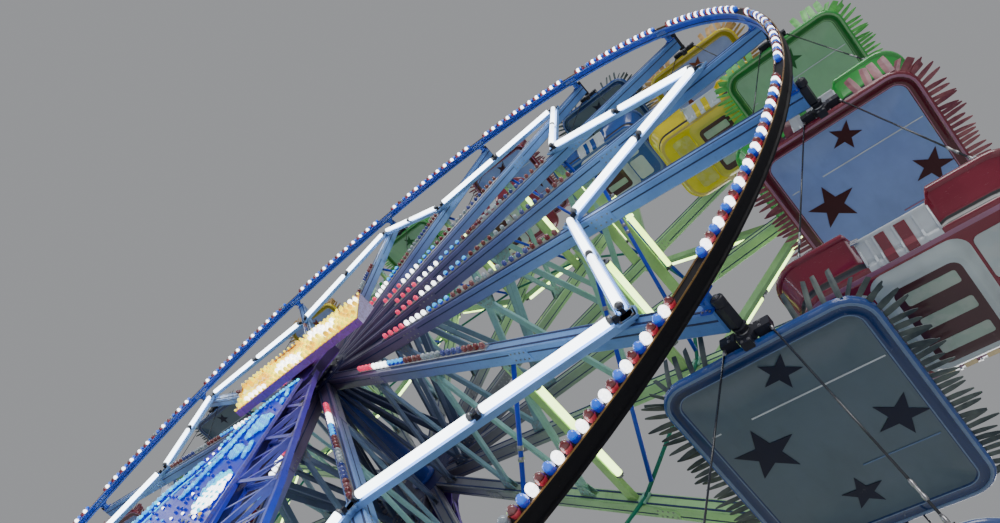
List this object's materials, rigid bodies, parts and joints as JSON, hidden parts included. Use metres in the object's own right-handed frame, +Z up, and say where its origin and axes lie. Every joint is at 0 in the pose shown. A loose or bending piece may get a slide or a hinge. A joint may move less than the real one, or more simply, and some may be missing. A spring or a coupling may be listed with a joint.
{
  "type": "fairground observation wheel",
  "caption": "Fairground observation wheel: an open spoked wheel with a bulb ring and star, hung with canopied tub cabins that stay level, on lattice towers.",
  "frame": {"origin": "on the ground, below the middle of the axle", "axes": "+Z up, Y along the axle with the lit front at -Y, X across the wheel"},
  "size_m": [19.134, 5.26, 20.273],
  "materials": {
    "tower_paint": "gloss",
    "sign_orange": "gloss",
    "panel_blue": "gloss",
    "base_steel": "satin",
    "ring_blue": "gloss",
    "star_white": "satin",
    "spoke_paint": "satin",
    "lattice_blue": "gloss",
    "rod_blue": "gloss",
    "tub_blue": "gloss",
    "tub_yellow": "gloss",
    "tub_green": "gloss",
    "tub_maroon": "gloss",
    "canopy_blue": "gloss",
    "canopy_yellow": "gloss",
    "canopy_green": "gloss",
    "canopy_maroon": "gloss",
    "bearing_iron": "satin",
    "axle_steel": "satin",
    "deck_plate": "satin"
  },
  "bodies": {
    "base": {"tower_front": "tower_paint", "tower_rear": "tower_paint", "bearing_front": "bearing_iron", "bearing_rear": "bearing_iron", "sign_board": "sign_orange", "light_panel": "panel_blue", "base_frame": "base_steel", "loading_deck": "deck_plate"},
    "wheel": {"light_ring": "ring_blue", "star_front": "star_white", "star_rear": "star_white", "spokes_front": "spoke_paint", "spokes_rear": "spoke_paint", "axle": "axle_steel", "lattice": "lattice_blue", "brace_rods": "rod_blue"},
    "cabin_01": {"cabin_01_tub": "tub_maroon", "cabin_01_canopy": "canopy_maroon"},
    "cabin_02": {"cabin_02_tub": "tub_blue", "cabin_02_canopy": "canopy_blue"},
    "cabin_03": {"cabin_03_tub": "tub_yellow", "cabin_03_canopy": "canopy_yellow"},
    "cabin_04": {"cabin_04_tub": "tub_green", "cabin_04_canopy": "canopy_green"},
    "cabin_05": {"cabin_05_tub": "tub_maroon", "cabin_05_canopy": "canopy_maroon"},
    "cabin_06": {"cabin_06_tub": "tub_blue", "cabin_06_canopy": "canopy_blue"},
    "cabin_07": {"cabin_07_tub": "tub_yellow", "cabin_07_canopy": "canopy_yellow"},
    "cabin_08": {"cabin_08_tub": "tub_green", "cabin_08_canopy": "canopy_green"},
    "cabin_09": {"cabin_09_tub": "tub_maroon", "cabin_09_canopy": "canopy_maroon"},
    "cabin_10": {"cabin_10_tub": "tub_blue", "cabin_10_canopy": "canopy_blue"},
    "cabin_11": {"cabin_11_tub": "tub_yellow", "cabin_11_canopy": "canopy_yellow"},
    "cabin_12": {"cabin_12_tub": "tub_green", "cabin_12_canopy": "canopy_green"},
    "cabin_13": {"cabin_13_tub": "tub_maroon", "cabin_13_canopy": "canopy_maroon"},
    "cabin_14": {"cabin_14_tub": "tub_blue", "cabin_14_canopy": "canopy_blue"},
    "cabin_15": {"cabin_15_tub": "tub_yellow", "cabin_15_canopy": "canopy_yellow"},
    "cabin_16": {"cabin_16_tub": "tub_green", "cabin_16_canopy": "canopy_green"}
  },
  "joints": [
    {"name": "wheel_turn", "type": "hinge", "parent": "base", "child": "wheel", "pos_m": [0, 0, 11.7], "axis": [0, 1, 0], "continuous": true},
    {"name": "cabin_01_swing", "type": "hinge", "parent": "wheel", "child": "cabin_01", "pos_m": [-8.48696, 0, 13.08979], "axis": [0, 1, 0], "continuous": true},
    {"name": "cabin_02_swing", "type": "hinge", "parent": "wheel", "child": "cabin_02", "pos_m": [-7.30908, 0, 16.23182], "axis": [0, 1, 0], "continuous": true},
    {"name": "cabin_03_swing", "type": "hinge", "parent": "wheel", "child": "cabin_03", "pos_m": [-5.01845, 0, 18.68392], "axis": [0, 1, 0], "continuous": true},
    {"name": "cabin_04_swing", "type": "hinge", "parent": "wheel", "child": "cabin_04", "pos_m": [-1.96382, 0, 20.07278], "axis": [0, 1, 0], "continuous": true},
    {"name": "cabin_05_swing", "type": "hinge", "parent": "wheel", "child": "cabin_05", "pos_m": [1.38979, 0, 20.18696], "axis": [0, 1, 0], "continuous": true},
    {"name": "cabin_06_swing", "type": "hinge", "parent": "wheel", "child": "cabin_06", "pos_m": [4.53182, 0, 19.00908], "axis": [0, 1, 0], "continuous": true},
    {"name": "cabin_07_swing", "type": "hinge", "parent": "wheel", "child": "cabin_07", "pos_m": [6.98392, 0, 16.71845], "axis": [0, 1, 0], "continuous": true},
    {"name": "cabin_08_swing", "type": "hinge", "parent": "wheel", "child": "cabin_08", "pos_m": [8.37278, 0, 13.66382], "axis": [0, 1, 0], "continuous": true},
    {"name": "cabin_09_swing", "type": "hinge", "parent": "wheel", "child": "cabin_09", "pos_m": [8.48696, 0, 10.31021], "axis": [0, 1, 0], "continuous": true},
    {"name": "cabin_10_swing", "type": "hinge", "parent": "wheel", "child": "cabin_10", "pos_m": [7.30908, 0, 7.16818], "axis": [0, 1, 0], "continuous": true},
    {"name": "cabin_11_swing", "type": "hinge", "parent": "wheel", "child": "cabin_11", "pos_m": [5.01845, 0, 4.71608], "axis": [0, 1, 0], "continuous": true},
    {"name": "cabin_12_swing", "type": "hinge", "parent": "wheel", "child": "cabin_12", "pos_m": [1.96382, 0, 3.32722], "axis": [0, 1, 0], "continuous": true},
    {"name": "cabin_13_swing", "type": "hinge", "parent": "wheel", "child": "cabin_13", "pos_m": [-1.38979, 0, 3.21304], "axis": [0, 1, 0], "continuous": true},
    {"name": "cabin_14_swing", "type": "hinge", "parent": "wheel", "child": "cabin_14", "pos_m": [-4.53182, 0, 4.39092], "axis": [0, 1, 0], "continuous": true},
    {"name": "cabin_15_swing", "type": "hinge", "parent": "wheel", "child": "cabin_15", "pos_m": [-6.98392, 0, 6.68155], "axis": [0, 1, 0], "continuous": true},
    {"name": "cabin_16_swing", "type": "hinge", "parent": "wheel", "child": "cabin_16", "pos_m": [-8.37278, 0, 9.73618], "axis": [0, 1, 0], "continuous": true}
  ],
  "couplings": [
    {"joint": "cabin_01_swing", "follows": "wheel_turn", "ratio": -1},
    {"joint": "cabin_02_swing", "follows": "wheel_turn", "ratio": -1},
    {"joint": "cabin_03_swing", "follows": "wheel_turn", "ratio": -1},
    {"joint": "cabin_04_swing", "follows": "wheel_turn", "ratio": -1},
    {"joint": "cabin_05_swing", "follows": "wheel_turn", "ratio": -1},
    {"joint": "cabin_06_swing", "follows": "wheel_turn", "ratio": -1},
    {"joint": "cabin_07_swing", "follows": "wheel_turn", "ratio": -1},
    {"joint": "cabin_08_swing", "follows": "wheel_turn", "ratio": -1},
    {"joint": "cabin_09_swing", "follows": "wheel_turn", "ratio": -1},
    {"joint": "cabin_10_swing", "follows": "wheel_turn", "ratio": -1},
    {"joint": "cabin_11_swing", "follows": "wheel_turn", "ratio": -1},
    {"joint": "cabin_12_swing", "follows": "wheel_turn", "ratio": -1},
    {"joint": "cabin_13_swing", "follows": "wheel_turn", "ratio": -1},
    {"joint": "cabin_14_swing", "follows": "wheel_turn", "ratio": -1},
    {"joint": "cabin_15_swing", "follows": "wheel_turn", "ratio": -1},
    {"joint": "cabin_16_swing", "follows": "wheel_turn", "ratio": -1}
  ]
}
